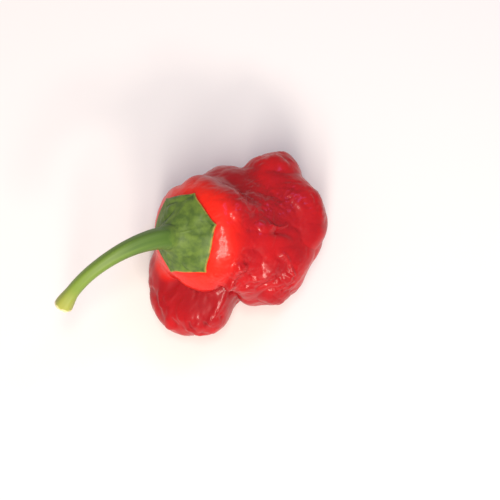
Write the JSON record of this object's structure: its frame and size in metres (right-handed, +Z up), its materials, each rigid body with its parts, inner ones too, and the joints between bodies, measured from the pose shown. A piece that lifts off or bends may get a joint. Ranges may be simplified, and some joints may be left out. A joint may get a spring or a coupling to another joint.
{
  "type": "chilli pepper",
  "caption": "Red bonnet chilli pepper lying on its side: a lobed, wrinkled pod with a toothed green calyx and a curved stem.",
  "frame": {"origin": "middle of the bounding box in X and Y, on the surface that the pepper lies on", "axes": "+X from the stem's cut end towards the blossom end, +Z up"},
  "size_m": [0.0618, 0.0422, 0.0345],
  "materials": {
    "pod": "waxy, glossy red skin",
    "calyx": "satin green leaf",
    "stem": "satin green stalk"
  },
  "bodies": {
    "root": {"pod": "pod", "calyx": "calyx", "stem": "stem"}
  },
  "joints": []
}
